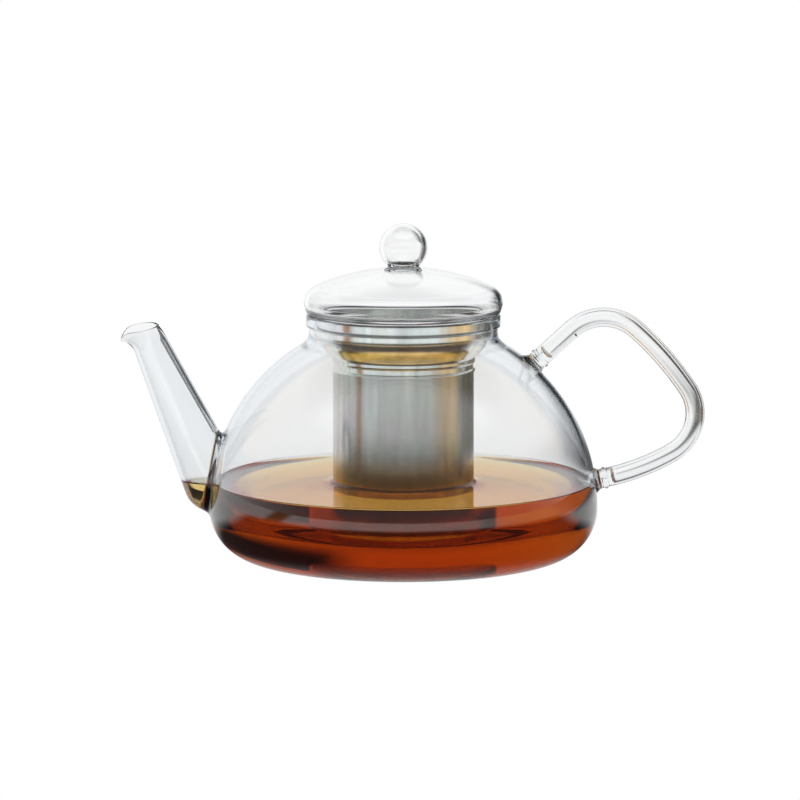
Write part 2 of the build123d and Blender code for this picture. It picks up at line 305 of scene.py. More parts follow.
def lathe(profile, segments, capped=False):
    """Vertices, faces, face marks and UVs of a profile turned round Z. Points at r = 0 become one pole.
    capped closes the profile's last ring with one flat face, marked 1."""
    verts, faces, marks, uvs, rings = [], [], [], [], []
    travelled = [0.0]
    for a, b in zip(profile, profile[1:]):
        travelled.append(travelled[-1] + math.hypot(b[0] - a[0], b[1] - a[1]))
    reach = max(p[0] for p in profile) * 2 * math.pi
    for r, z in profile:
        if r < 1e-7:
            rings.append([len(verts)] * segments)
            verts.append((0, 0, z))
        else:
            rings.append(list(range(len(verts), len(verts) + segments)))
            for k in range(segments):
                a = 2 * math.pi * k / segments
                verts.append((r * math.cos(a), r * math.sin(a), z))
    for i, (ring, after) in enumerate(zip(rings, rings[1:])):
        for k in range(segments):
            n = (k + 1) % segments
            corners = [(ring[k], k, i), (ring[n], k + 1, i), (after[n], k + 1, i + 1), (after[k], k, i + 1)]
            kept = [c for j, c in enumerate(corners) if c[0] != corners[j - 1][0]]
            if len(kept) > 2:
                faces.append([c[0] for c in kept])
                marks.append(0)
                uvs.append([(c[1] / segments * reach, travelled[c[2]]) for c in kept])
    if capped:
        faces.append(rings[-1])
        marks.append(1)
        uvs.append([(0.0, 0.0)] * segments)
    return verts, faces, marks, uvs


def link_mesh(name, mesh):
    """An object for a finished mesh, linked to the scene."""
    obj = bpy.data.objects.new(name, mesh)
    bpy.context.scene.collection.objects.link(obj)
    return obj


def mesh_object(name, verts, faces, marks=None, uvs=None):
    """A linked, smooth object from plain lists."""
    mesh = bpy.data.meshes.new(name)
    mesh.from_pydata(verts, [], faces)
    if uvs is not None:
        layer = mesh.uv_layers.new(name="Surface")
        flat = [c for face in uvs for c in face]
        layer.data.foreach_set("uv", np.array(flat, np.float32).ravel())
    if marks is not None:
        mesh.polygons.foreach_set("material_index", marks)
    mesh.polygons.foreach_set("use_smooth", [True] * len(mesh.polygons))
    mesh.update()
    return link_mesh(name, mesh)


def check_closed(bm, piece):
    """Stops the build if a piece has an open or a doubled edge."""
    faulty = sum(len(e.link_faces) != 2 for e in bm.edges)
    if faulty:
        raise RuntimeError(f"{piece} has {faulty} edges that don't join two faces")


def soften(obj, degrees):
    """Smooth shading that keeps edges sharper than this angle."""
    bm = bmesh.new()
    bm.from_mesh(obj.data)
    for e in bm.edges:
        e.smooth = len(e.link_faces) != 2 or e.calc_face_angle(0) < math.radians(degrees)
    for f in bm.faces:
        f.smooth = True
    bm.to_mesh(obj.data)
    bm.free()
    obj.data.update()


def outward(obj):
    """Turns the faces of a simple closed shell outwards."""
    bm = bmesh.new()
    bm.from_mesh(obj.data)
    bmesh.ops.recalc_face_normals(bm, faces=bm.faces)
    bm.to_mesh(obj.data)
    bm.free()


def drop(obj):
    """Removes an object and the mesh that only it uses."""
    mesh = obj.data
    bpy.data.objects.remove(obj)
    if mesh.users == 0:
        bpy.data.meshes.remove(mesh)


def evaluated_mesh(obj):
    """A plain mesh of an object with its modifiers applied."""
    bpy.context.view_layer.update()
    return bpy.data.meshes.new_from_object(obj.evaluated_get(bpy.context.evaluated_depsgraph_get()))


def dress(obj, material):
    """One material on the whole piece."""
    obj.data.materials.clear()
    obj.data.materials.append(material)
    obj.data.polygons.foreach_set("material_index", [0] * len(obj.data.polygons))
    obj.data.update()


# ---------------------------------------------------------------- the vessel's shape


class Body:
    """The vessel's and the spout's surfaces, at any inset from the outer face."""

    # how far out the push-up reaches, as a share of the flat base
    PUSH_UP_SHARE = 0.86
    # points this close to both surfaces are settled onto the seam
    SEAM_REACH = 9 * MM
    SETTLE_ROUNDS, SLOPE_STEP, LEAST_SLOPE = 6, 1e-5, 0.2

    def __init__(self, s):
        self.s = s
        rise = s.shoulder - s.corner
        self.dome_r = ((BODY_R - s.neck) ** 2 + rise**2) / (2 * (BODY_R - s.neck))
        self.dome_x = BODY_R - self.dome_r
        self.along = np.array([math.sin(s.spout_tilt), 0, -math.cos(s.spout_tilt)])
        self.across = np.array([math.cos(s.spout_tilt), 0, math.sin(s.spout_tilt)])
        self.tip = np.array(s.spout_tip)
        self.root = self.tip + self.along * s.spout_length
        self.slope = (s.spout_root_radius - s.spout_tip_radius) / s.spout_length

    def dome_end(self, inset):
        """Height where the dome, at this inset, reaches the neck."""
        r = self.s.neck - inset
        return self.s.corner + math.sqrt((self.dome_r - inset) ** 2 - (r - self.dome_x) ** 2)

    def profile(self, inset):
        """(r, z) from the middle of the base up to the foot of the neck."""
        s = self.s
        flat = BODY_R - s.corner
        raised = flat * self.PUSH_UP_SHARE
        base = [(r, inset + s.push_up * (1 - (r / raised) ** 2) ** 2) for r in np.linspace(0, raised, 14)]
        base += divided(base[-1], (flat, inset), 4)
        corner = arc((flat, s.corner), s.corner - inset, -90, 0, 26)[1:]
        end = math.degrees(math.atan2(self.dome_end(inset) - s.corner, s.neck - inset - self.dome_x))
        dome = arc((self.dome_x, s.corner), self.dome_r - inset, 0, end, 66)[1:]
        return base + corner + dome

    def vessel_distance(self, p, inset):
        """Distance of points from the dome and the corner."""
        s = self.s
        r = np.hypot(p[:, 0], p[:, 1])
        z = p[:, 2] - s.corner
        dome = np.hypot(r - self.dome_x, z) - (self.dome_r - inset)
        corner = np.hypot(r - (BODY_R - s.corner), z) - (s.corner - inset)
        return np.where(z > 0, dome, corner)

    def spout_distance(self, p, inset):
        """Distance of points from the spout's cone and its rounded root."""
        rel = p - self.tip
        t = rel @ self.along
        radial = np.linalg.norm(rel - t[:, None] * self.along, axis=1)
        cone = (radial - (self.s.spout_tip_radius + self.slope * t - inset)) * math.cos(math.atan(self.slope))
        ball = np.linalg.norm(p - self.root, axis=1) - (self.s.spout_root_radius - inset)
        return np.where(t < self.s.spout_length, cone, ball)

    def melted(self, p, inset, spout_inset):
        """Distance to the two surfaces run together, with a soft seam."""
        a, b = self.vessel_distance(p, inset), self.spout_distance(p, spout_inset)
        k = self.s.seam
        h = np.clip(k - np.abs(a - b), 0, None) / k
        return np.minimum(a, b) - h * h * k / 4

    def settle(self, p, inset, spout_inset):
        """Moves the points near the seam onto the melted surface."""
        near = (np.abs(self.vessel_distance(p, inset)) < self.SEAM_REACH) & (
            np.abs(self.spout_distance(p, spout_inset)) < self.SEAM_REACH
        )
        q = p[near]
        step = self.SLOPE_STEP
        for _ in range(self.SETTLE_ROUNDS):
            f = self.melted(q, inset, spout_inset)
            g = np.stack([
                (self.melted(q + np.eye(3)[i] * step, inset, spout_inset) - f) / step for i in range(3)
            ], 1)
            q = q - (f / np.maximum((g * g).sum(1), self.LEAST_SLOPE))[:, None] * g
        p[near] = q
        return p


def spout_rings(body, inset):
    """Rings of the spout from the mouth to the pole of the root. inset is 0 outside and the wall inside.
    The first ring lies in the middle of the rounded lip and is the same for both."""
    s = body.s
    turn = np.linspace(0, 2 * math.pi, SPOUT_SIDES, endpoint=False)
    cos, sin = np.cos(turn), np.sin(turn)
    centre = np.array([SPOUT_REACH + MOUTH_ROOM + MOUTH_HALF[0] * math.cos(MOUTH_SLOPE), 0, MOUTH_Z])
    rim_x = np.array([math.cos(MOUTH_SLOPE), 0, math.sin(MOUTH_SLOPE)])
    rim_y = np.array([0, math.cos(MOUTH_LIST), math.sin(MOUTH_LIST)])
    rim_up = np.cross(rim_x, rim_y)
    depth = np.array([0, 1.0, 0])
    lip = np.clip(-cos, 0, 1) ** LIP_SHARPNESS

    def rim_ring(inwards, lift):
        ring = (
            centre
            + np.outer(cos * (MOUTH_HALF[0] - inwards), rim_x)
            + np.outer(sin * (MOUTH_HALF[1] - inwards), rim_y)
            + rim_up * lift
        )
        return ring + np.outer(lip, [0, 0, -LIP_DROP])

    def cone_ring(t, inwards):
        r = s.spout_tip_radius + body.slope * t - inwards
        return body.tip + body.along * t + np.outer(cos * r, body.across) + np.outer(sin * r, depth)

    w = s.spout_wall * LIP_WALL
    side = -1 if inset == 0 else 1
    rings = [rim_ring(w / 2, 0.0)]
    for a in LIP_ANGLES:
        rings.append(rim_ring(w / 2 + side * w / 2 * math.sin(a), -w / 2 * (1 - math.cos(a))))
    # from the rim down to the cone: away from the rim across it, then along the axis
    last = rings[-1]
    base = cone_ring(MOUTH_LENGTH, inset)
    fall = np.linalg.norm(last - base, axis=1)[:, None]
    arrive = base - body.along * fall * 0.62
    leave = last - rim_up * fall * 0.16 + np.outer(lip, [0.4 * MM, 0, -0.2 * MM])
    steps = 14
    for i in range(1, steps + 1):
        t = i / steps
        rings.append(
            last * (1 - t) ** 3 + leave * 3 * t * (1 - t) ** 2 + arrive * 3 * t * t * (1 - t) + base * t**3
        )
    for t in np.linspace(MOUTH_LENGTH, s.spout_length, 54)[1:]:
        rings.append(cone_ring(t, inset))
    r = s.spout_root_radius - inset
    for a in np.radians(np.linspace(0, 90, 14))[1:-1]:
        rings.append(
            body.root + body.along * r * math.sin(a)
            + np.outer(cos * r * math.cos(a), body.across) + np.outer(sin * r * math.cos(a), depth)
        )
    rings.append(body.root + body.along * r)
    return rings


def rings_to_lists(rings):
    """Vertices, faces and face marks of rings joined in order. The first ring is closed by a face marked 1."""
    verts, faces, marks, index = [], [], [], []
    for ring in rings:
        ring = np.atleast_2d(ring)
        index.append(list(range(len(verts), len(verts) + len(ring))))
        verts.extend(map(tuple, ring))
    n = len(index[0])
    for a, b in zip(index, index[1:]):
        for k in range(n):
            m = (k + 1) % n
            faces.append([a[k], a[m], b[0]] if len(b) == 1 else [a[k], a[m], b[m], b[k]])
            marks.append(0)
    faces.append(list(reversed(index[0])))
    marks.append(1)
    return verts, faces, marks


def union(a, b):
    """The exact union of two closed objects, as a new mesh. Face marks are kept."""
    for o in (a, b):
        outward(o)
        while len(o.data.materials) < 2:
            o.data.materials.append(None)
    m = a.modifiers.new("Union", "BOOLEAN")
    m.operation, m.solver, m.object = "UNION", "EXACT", b
    made = evaluated_mesh(a)
    drop(a)
    drop(b)
    return made


def vessel_surface(body, inset, spout_inset):
    """The closed outer solid or cavity of vessel and spout together, with marked caps at both mouths."""
    s = body.s
    profile = body.profile(inset)
    middle = (s.rim + s.neck - s.wall) / 2
    n = s.neck - inset
    rim_foot = RIM_Z - s.rim_height
    if inset == 0:
        neck = rounded(
            [profile[-1], (s.neck, s.shoulder + 0.1 * MM), (s.neck, rim_foot), (s.rim, rim_foot),
             (s.rim, RIM_Z), (middle, RIM_Z)],
            [0, 0, 0.5 * MM, 0.5 * MM, 1.4 * MM, 0], 6,
        )
    else:
        neck = rounded([profile[-1], (n, RIM_Z), (middle, RIM_Z)], [0, 1.4 * MM, 0], 6)
    profile = profile + neck[1:]
    # the bend from the dome up into the neck, eased over a few rings
    end = body.dome_end(inset)
    where = [i for i, p in enumerate(profile) if abs(p[1] - end) < 3 * MM and p[0] < n + 4 * MM]
    bend_top = end + 3.2 * MM
    bend = curved(profile[where[0] - 1], (n, end), (n, bend_top), np.linspace(0, 1, 10))
    rest = [p for p in profile[where[-1] + 1:] if p[1] > bend_top + 0.2 * MM]
    verts, faces, marks, _ = lathe(profile[: where[0] - 1] + bend + rest, s.segments, capped=True)
    vessel = mesh_object("vessel_shell", verts, faces, marks)
    spout = mesh_object("spout_shell", *rings_to_lists(spout_rings(body, spout_inset)))
    mesh = union(vessel, spout)
    p = np.array([v.co for v in mesh.vertices], float)
    p = body.settle(p, inset, spout_inset)
    mesh.vertices.foreach_set("co", p.astype(np.float32).ravel())
    mesh.update()
    return mesh


# ---------------------------------------------------------------- nodes


def add_node(tree, kind, inputs=None, **settings):
    """A node of this kind. inputs gives a value or another node's socket for some of its inputs."""
    node = tree.nodes.new(kind)
    for name, value in settings.items():
        setattr(node, name, value)
    for name, value in (inputs or {}).items():
        if isinstance(value, bpy.types.NodeSocket):
            tree.links.new(value, node.inputs[name])
        else:
            node.inputs[name].default_value = value
    return node


def math_node(tree, operation, a, b=None):
    """A Math node fed by sockets or numbers. Returns its output."""
    inputs = {0: a} if b is None else {0: a, 1: b}
    return add_node(tree, "ShaderNodeMath", inputs, operation=operation).outputs[0]


def eased(tree, value, start, end, first=0.0, last=1.0, interpolation="SMOOTHSTEP"):
    """first where the value is at start, last where it is at end. Returns the output."""
    inputs = {"Value": value, "From Min": start, "From Max": end, "To Min": first, "To Max": last}
    return add_node(tree, "ShaderNodeMapRange", inputs, interpolation_type=interpolation).outputs["Result"]


def mixed(tree, factor, a, b, blend="MIX"):
    """Two colours mixed. Returns the output."""
    inputs = {0: factor, 6: a, 7: b}
    return add_node(tree, "ShaderNodeMix", inputs, data_type="RGBA", blend_type=blend).outputs[2]


def rgba(shade):
    return (*shade, 1)


def new_group(name, inputs, outputs):
    """An empty shader node group with the given sockets."""
    tree = bpy.data.node_groups.new(name, "ShaderNodeTree")
    for label, kind, default in inputs:
        socket = tree.interface.new_socket(label, in_out="INPUT", socket_type=kind)
        if default is not None:
            socket.default_value = default
    for label, kind in outputs:
        tree.interface.new_socket(label, in_out="OUTPUT", socket_type=kind)
    return tree, tree.nodes.new("NodeGroupInput").outputs, tree.nodes.new("NodeGroupOutput").inputs


# ---------------------------------------------------------------- shader groups and materials


def waviness_group():
    """Slow swells of blown glass, as a normal."""
    if "Blown Waviness" in bpy.data.node_groups:
        return bpy.data.node_groups["Blown Waviness"]
    tree, inp, out = new_group(
        "Blown Waviness",
        [("Vector", "NodeSocketVector", None), ("Scale", "NodeSocketFloat", 30.0),
         ("Depth", "NodeSocketFloat", 0.00002)],
        [("Normal", "NodeSocketVector")],
    )
    noise = add_node(tree, "ShaderNodeTexNoise", {
        "Vector": inp["Vector"], "Scale": inp["Scale"], "Detail": 1.0, "Roughness": 0.4,
    })
    bump = add_node(tree, "ShaderNodeBump", {
        "Strength": 1.0, "Distance": inp["Depth"], "Height": noise.outputs["Fac"],
    })
    tree.links.new(bump.outputs["Normal"], out["Normal"])
    return tree


def grain_group():
    """Fine turning lines, soft stains and upright streaks of satin steel."""
    if "Satin Grain" in bpy.data.node_groups:
        return bpy.data.node_groups["Satin Grain"]
    tree, inp, out = new_group(
        "Satin Grain",
        [("Vector", "NodeSocketVector", None), ("Steel", "NodeSocketColor", (0.6, 0.6, 0.58, 1))],
        [("Color", "NodeSocketColor"), ("Roughness", "NodeSocketFloat"), ("Height", "NodeSocketFloat")],
    )

    def noise(stretch, **inputs):
        vector = inp["Vector"]
        if stretch:
            vector = add_node(tree, "ShaderNodeMapping", {"Vector": vector, "Scale": stretch}).outputs["Vector"]
        return add_node(tree, "ShaderNodeTexNoise", {"Vector": vector, **inputs}).outputs

    lines = noise((14, 14, 2600), Scale=1.0, Detail=4.0)
    stains = noise(None, Scale=55.0, Detail=3.0)
    streaks = noise((150, 150, 11), Scale=1.0, Detail=2.0, Distortion=0.6)
    stained = mixed(tree, 0.25, inp["Steel"], stains["Color"], "MULTIPLY")
    plain = add_node(tree, "ShaderNodeHueSaturation", {"Color": stained, "Saturation": 0.75, "Value": 1.12})
    shaded = add_node(tree, "ShaderNodeHueSaturation", {
        "Color": plain.outputs["Color"],
        "Value": eased(tree, streaks["Fac"], 0.3, 0.7, 0.80, 1.12, "LINEAR"),
    })
    tree.links.new(shaded.outputs["Color"], out["Color"])
    rough = math_node(tree, "ADD", math_node(tree, "MULTIPLY", stains["Fac"], 0.10), 0.12)
    tree.links.new(rough, out["Roughness"])
    tree.links.new(lines["Fac"], out["Height"])
    return tree


def perforation_group():
    """Staggered fine holes on a UV map in metres. Mask is 1 in a hole."""
    if "Fine Perforation" in bpy.data.node_groups:
        return bpy.data.node_groups["Fine Perforation"]
    tree, inp, out = new_group(
        "Fine Perforation",
        [("UV", "NodeSocketVector", None), ("Pitch", "NodeSocketFloat", 0.0006),
         ("Hole", "NodeSocketFloat", 0.27)],
        [("Mask", "NodeSocketFloat")],
    )
    row_height, softness = 0.866, 0.05

    def do(operation, a, b=None):
        return math_node(tree, operation, a, b)

    split = add_node(tree, "ShaderNodeSeparateXYZ", {0: inp["UV"]}).outputs
    u = do("DIVIDE", split["X"], inp["Pitch"])
    v = do("DIVIDE", do("DIVIDE", split["Y"], inp["Pitch"]), row_height)
    shift = do("MULTIPLY", do("MODULO", do("FLOOR", v), 2.0), 0.5)
    x = do("SUBTRACT", do("FRACT", do("ADD", u, shift)), 0.5)
    y = do("MULTIPLY", do("SUBTRACT", do("FRACT", v), 0.5), row_height)
    away = do("SQRT", do("ADD", do("MULTIPLY", x, x), do("MULTIPLY", y, y)))
    start, end = do("SUBTRACT", inp["Hole"], softness), do("ADD", inp["Hole"], softness)
    tree.links.new(eased(tree, away, start, end, 1.0, 0.0), out["Mask"])
    return tree


def start_material(name):
    """A new material, its node tree, its shader and the socket of its object coordinates."""
    material = bpy.data.materials.new(name)
    material.use_nodes = True
    tree = material.node_tree
    place = add_node(tree, "ShaderNodeTexCoord").outputs["Object"]
    return material, tree, tree.nodes["Principled BSDF"], place


def clear_shader(tree, shader, place, index, scale, depth, shade, density):
    """Makes the shader a clear one with slow swells, and gives it a body that takes its colour with depth."""
    shader.inputs["Transmission Weight"].default_value = 1.0
    shader.inputs["Roughness"].default_value = 0.0
    shader.inputs["IOR"].default_value = index
    wave = add_node(tree, "ShaderNodeGroup", node_tree=waviness_group())
    wave.inputs["Scale"].default_value = scale
    wave.inputs["Depth"].default_value = depth
    tree.links.new(place, wave.inputs["Vector"])
    tree.links.new(wave.outputs["Normal"], shader.inputs["Normal"])
    body = add_node(tree, "ShaderNodeVolumeAbsorption", {"Color": rgba(shade), "Density": density})
    tree.links.new(body.outputs["Volume"], tree.nodes["Material Output"].inputs["Volume"])


def glass_material(name, scale, depth, edge, density):
    """Clear borosilicate glass with slow swells, a faint grey-blue body and painted edge shade: its colour
    darkens where the surface turns edge-on to the view.
    """
    s = bpy.context.scene.teapot_vessel
    material, tree, shader, place = start_material(name)
    facing = add_node(tree, "ShaderNodeLayerWeight", {"Blend": 0.5}).outputs["Facing"]
    # painted shade: darker glass colour where the surface turns edge-on to the view, down to edge
    painted_edge_shade = eased(tree, facing, 0.74, 1.0)
    tint = mixed(tree, painted_edge_shade, rgba(WHITE), (edge, edge * 1.02, edge * 1.03, 1))
    tree.links.new(tint, shader.inputs["Base Color"])
    clear_shader(tree, shader, place, s.index, scale, depth, s.glass, density)
    return material


def tea_material(s):
    """Black tea: clear, deep red-brown, amber where it is thin."""
    material, tree, shader, place = start_material("Black Tea")
    shader.inputs["Base Color"].default_value = rgba(WHITE)
    clear_shader(tree, shader, place, s.index, 60.0, 0.000004, s.colour, s.strength)
    return material


def steel_material(name, s, perforated):
    """Satin stainless steel, plain or with fine holes."""
    material, tree, shader, place = start_material(name)
    shader.inputs["Metallic"].default_value = 1.0
    grain = add_node(tree, "ShaderNodeGroup", node_tree=grain_group())
    grain.inputs["Steel"].default_value = rgba(s.steel if perforated else s.polished)
    tree.links.new(place, grain.inputs["Vector"])
    tree.links.new(grain.outputs["Roughness"], shader.inputs["Roughness"])
    bump = add_node(tree, "ShaderNodeBump", {
        "Strength": 0.25, "Distance": 0.00002, "Height": grain.outputs["Height"],
    })
    if not perforated:
        tree.links.new(grain.outputs["Color"], shader.inputs["Base Color"])
        tree.links.new(bump.outputs["Normal"], shader.inputs["Normal"])
        return material
    around = round(2 * math.pi * BASKET_R / s.pitch)
    holes = add_node(tree, "ShaderNodeGroup", node_tree=perforation_group())
    holes.inputs["Pitch"].default_value = 2 * math.pi * BASKET_R / around
    uv = add_node(tree, "ShaderNodeUVMap", uv_map="Surface")
    tree.links.new(uv.outputs["UV"], holes.inputs["UV"])
    # painted shade: each fine hole is painted dark for the shaded inside seen through it
    sheet = mixed(tree, holes.outputs["Mask"], grain.outputs["Color"], rgba(s.hole))
    # painted light: the steel is tinted amber by a painted glow of the tea, full low on the wall and fading out
    # upwards
    z = add_node(tree, "ShaderNodeSeparateXYZ", {0: place}).outputs["Z"]
    painted_tea_glow = eased(tree, z, s.painted_glow_top, s.painted_glow_top - s.painted_glow_fade)
    tree.links.new(mixed(tree, painted_tea_glow, sheet, rgba(s.painted_tea_glow), "MULTIPLY"), shader.inputs["Base Color"])
    dip = add_node(tree, "ShaderNodeBump", {
        "Strength": 0.35, "Distance": 0.00008, "Height": holes.outputs["Mask"], "Normal": bump.outputs["Normal"],
    }, invert=True)
    tree.links.new(dip.outputs["Normal"], shader.inputs["Normal"])
    return material


# ---------------------------------------------------------------- vessel


class TEAPOT_OT_vessel(bpy.types.Operator):
    """Blow the glass body and melt the spout into it"""

    bl_idname = "teapot.vessel"
    bl_label = "Vessel and Spout"

    def execute(self, context):
        s = context.scene.teapot_vessel
        body = Body(s)
        outer = vessel_surface(body, 0.0, 0.0)
        inner = vessel_surface(body, s.wall, s.spout_wall)
        bm = bmesh.new()
        bm.from_mesh(outer)
        skin = len(bm.faces)
        bm.from_mesh(inner)
        bm.faces.ensure_lookup_table()
        bmesh.ops.reverse_faces(bm, faces=bm.faces[skin:])
        # without their caps, the two skins meet in the rim and in the lip
        bmesh.ops.delete(bm, geom=[f for f in bm.faces if f.material_index == 1], context="FACES")
        bmesh.ops.remove_doubles(bm, verts=bm.verts, dist=2e-6)
        bmesh.ops.triangulate(bm, faces=[f for f in bm.faces if len(f.verts) > 4])
        check_closed(bm, "vessel_glass")
        mesh = bpy.data.meshes.new("vessel_glass")
        bm.to_mesh(mesh)
        bm.free()
        bpy.data.meshes.remove(outer)
        bpy.data.meshes.remove(inner)
        mesh.polygons.foreach_set("use_smooth", [True] * len(mesh.polygons))
        obj = link_mesh("vessel_glass", mesh)
        dress(obj, glass_material("Blown Glass", 22.0, 0.00003, 0.4, 30.0))
        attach(obj, "pot")
        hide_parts("vessel", "spout")
        return {"FINISHED"}


# ---------------------------------------------------------------- handle


def tube_tree():
    """Geometry nodes: a round glass tube along a path, its radius stored on the points; bores are turned
    inside out. Returns the tree and the identifiers of its sides and material."""
    tree = bpy.data.node_groups.new("Glass Tube", "GeometryNodeTree")
    face = tree.interface
    face.new_socket("Path", in_out="INPUT", socket_type="NodeSocketGeometry")
    sides = face.new_socket("Sides", in_out="INPUT", socket_type="NodeSocketInt")
    glass = face.new_socket("Material", in_out="INPUT", socket_type="NodeSocketMaterial")
    face.new_socket("Tube", in_out="OUTPUT", socket_type="NodeSocketGeometry")
    given, out = tree.nodes.new("NodeGroupInput").outputs, tree.nodes.new("NodeGroupOutput")

    def stored(name):
        return add_node(tree, "GeometryNodeInputNamedAttribute", {"Name": name}, data_type="FLOAT").outputs[0]

    curve = add_node(tree, "GeometryNodeMeshToCurve", {"Mesh": given["Path"]})
    circle = add_node(tree, "GeometryNodeCurvePrimitiveCircle", {"Resolution": given["Sides"], "Radius": 1.0})
    sweep = add_node(tree, "GeometryNodeCurveToMesh", {
        "Curve": curve.outputs["Curve"], "Profile Curve": circle.outputs["Curve"],
        "Scale": stored("tube_radius"), "Fill Caps": True,
    })
    inside = add_node(
        tree, "FunctionNodeCompare", {"A": stored("bore"), "B": 0.5}, data_type="FLOAT", operation="GREATER_THAN"
    )
    flip = add_node(tree, "GeometryNodeFlipFaces", {
        "Mesh": sweep.outputs["Mesh"], "Selection": inside.outputs["Result"],
    })
    smooth = add_node(tree, "GeometryNodeSetShadeSmooth", {"Geometry": flip.outputs["Mesh"]})
    real = add_node(tree, "GeometryNodeRealizeInstances", {"Geometry": smooth.outputs["Geometry"]})
    finish = add_node(tree, "GeometryNodeSetMaterial", {
        "Geometry": real.outputs["Geometry"], "Material": given["Material"],
    })
    tree.links.new(finish.outputs["Geometry"], out.inputs["Tube"])
    return tree, sides.identifier, glass.identifier


def towards(heading):
    return np.array([math.cos(heading), math.sin(heading)])


def handle_line():
    """Points (x, z) of the handle's middle line, from inside the upper foot to inside the lower one."""
    heading = HANDLE_HEADING
    p = np.array(HANDLE_START) * MM
    start = p - UPPER_REACH * towards(heading)
    straight = HANDLE_STRAIGHT * HANDLE_SIZE
    points = [start + d * towards(heading) for d in np.arange(0, UPPER_REACH + straight, LINE_STEP)]
    p = p + straight * towards(heading)
    for radius, turn in HANDLE_BENDS:
        radius *= MM * HANDLE_SIZE
        turn = math.radians(turn)
        centre = p + radius * np.array([math.sin(heading), -math.cos(heading)])
        steps = max(4, int(radius * turn / (0.8 * MM)))
        points += [centre + radius * towards(heading + math.pi / 2 - turn * k / steps) for k in range(steps)]
        heading -= turn
        p = centre + radius * towards(heading + math.pi / 2)
    for d in np.arange(0, LOWER_REACH + LINE_STEP / 2, LINE_STEP):
        points.append(p + min(d, LOWER_REACH) * towards(heading))
    return np.array(points)


class TEAPOT_OT_handle(bpy.types.Operator):
    """Bend the hollow glass handle and fuse its two feet"""

    bl_idname = "teapot.handle"
    bl_label = "Handle"

    def execute(self, context):
        s = context.scene.teapot_handle
        points = handle_line()
        travel = np.concatenate([[0], np.cumsum(np.linalg.norm(np.diff(points, axis=0), axis=1))])
        total = travel[-1]
        first, last = BORE_START, total - BORE_END

        def outer_radius(d):
            """The tube, a ring near its end, and the foot that flares onto the dome."""
            near = min(d, total - d)
            flare = FOOT_LENGTH - FOOT_FLARE
            if near < flare:
                return s.tube + (s.foot - s.tube) * (1 - near / flare) ** 1.6
            ring = math.exp(-(((near - FOOT_LENGTH + 0.6 * MM) / (0.7 * MM)) ** 2))
            return s.tube + s.bead * ring

        def bore_radius(d):
            """The bore, closed by a rounded end."""
            t = min(1.0, min(d - first, last - d) / BORE_ROUND)
            return max(0.02 * MM, (s.tube - s.wall) * math.sqrt(max(0.0, 1 - (1 - t) ** 2)))

        inside = [(q, d) for q, d in zip(points, travel) if first <= d <= last]
        verts = [(q[0], 0, q[1]) for q in points] + [(q[0], 0, q[1]) for q, _ in inside]
        radii = [outer_radius(d) for d in travel] + [bore_radius(d) for _, d in inside]
        n = len(points)
        edges = [(i, i + 1) for i in range(len(verts) - 1) if i != n - 1]
        mesh = bpy.data.meshes.new("handle_path")
        mesh.from_pydata(verts, edges, [])
        mesh.attributes.new("tube_radius", "FLOAT", "POINT").data.foreach_set("value", radii)
        bores = [0.0] * n + [1.0] * len(inside)
        mesh.attributes.new("bore", "FLOAT", "POINT").data.foreach_set("value", bores)
        path = link_mesh("handle_path", mesh)
        tree, sides_id, material_id = tube_tree()
        glass = glass_material("Tube Glass", 40.0, 0.000004, 0.9, 10.0)
        m = path.modifiers.new("Tube", "NODES")
        m.node_group = tree
        m[sides_id] = s.sides
        m[material_id] = glass
        made = evaluated_mesh(path)
        drop(path)
        obj = link_mesh("handle_glass", made)
        bm = bmesh.new()
        bm.from_mesh(made)
        if bm.calc_volume(signed=True) < 0:
            bmesh.ops.reverse_faces(bm, faces=bm.faces)
        for f in bm.faces:
            f.smooth = len(f.verts) == 4
        for e in bm.edges:
            e.smooth = all(len(f.verts) == 4 for f in e.link_faces)
        check_closed(bm, "handle_glass")
        bm.to_mesh(made)
        bm.free()
        dress(obj, glass)
        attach(obj, "pot")
        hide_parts("handle", "handle_upper_foot", "handle_lower_foot")
        return {"FINISHED"}


# ---------------------------------------------------------------- lid


